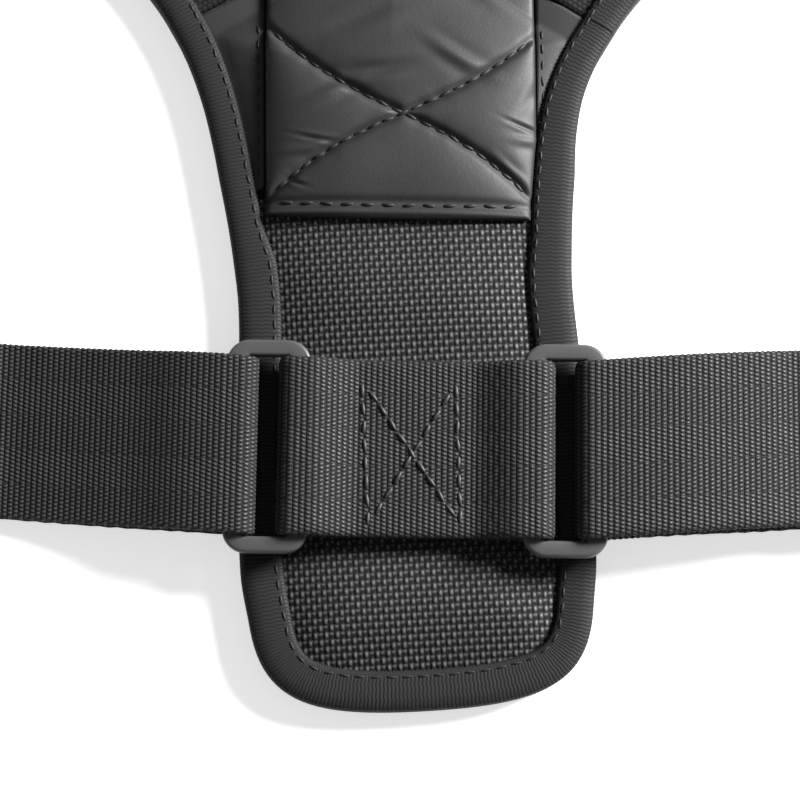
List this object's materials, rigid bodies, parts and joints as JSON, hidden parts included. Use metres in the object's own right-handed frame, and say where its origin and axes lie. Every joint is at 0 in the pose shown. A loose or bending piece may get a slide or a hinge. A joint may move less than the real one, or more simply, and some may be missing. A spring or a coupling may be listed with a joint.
{
  "type": "posture corrector",
  "caption": "Padded posture corrector laid open: a back panel of woven nylon and quilted leatherette, shoulder pads, and webbing looped through rectangular rings.",
  "frame": {"origin": "on the flat underside of the back panel, midway between the two rings", "axes": "+X to the right along the line of the rings, +Y towards the neck, +Z out of the outer face"},
  "size_m": [0.4311, 0.2393, 0.0137],
  "materials": {
    "pad_cloth": "brushed black cloth over foam",
    "nylon": "coarse basket-woven black nylon",
    "leather": "soft satin black leatherette, quilted",
    "strip": "smooth dark cloth",
    "binding": "ribbed black edge tape",
    "webbing": "twill-woven black webbing",
    "ring": "satin moulded dark grey plastic"
  },
  "bodies": {
    "root": {"back_pad": "pad_cloth", "nylon_panel": "nylon", "leather_panel": "leather", "side_strip_left": "strip", "side_strip_right": "strip", "panel_binding": "binding", "centre_web": "webbing", "ring_left": "ring", "ring_right": "ring", "side_web_left": "webbing", "side_web_right": "webbing", "shoulder_pad_left": "pad_cloth", "shoulder_pad_right": "pad_cloth", "shoulder_binding_left": "binding", "shoulder_binding_right": "binding"}
  },
  "joints": []
}
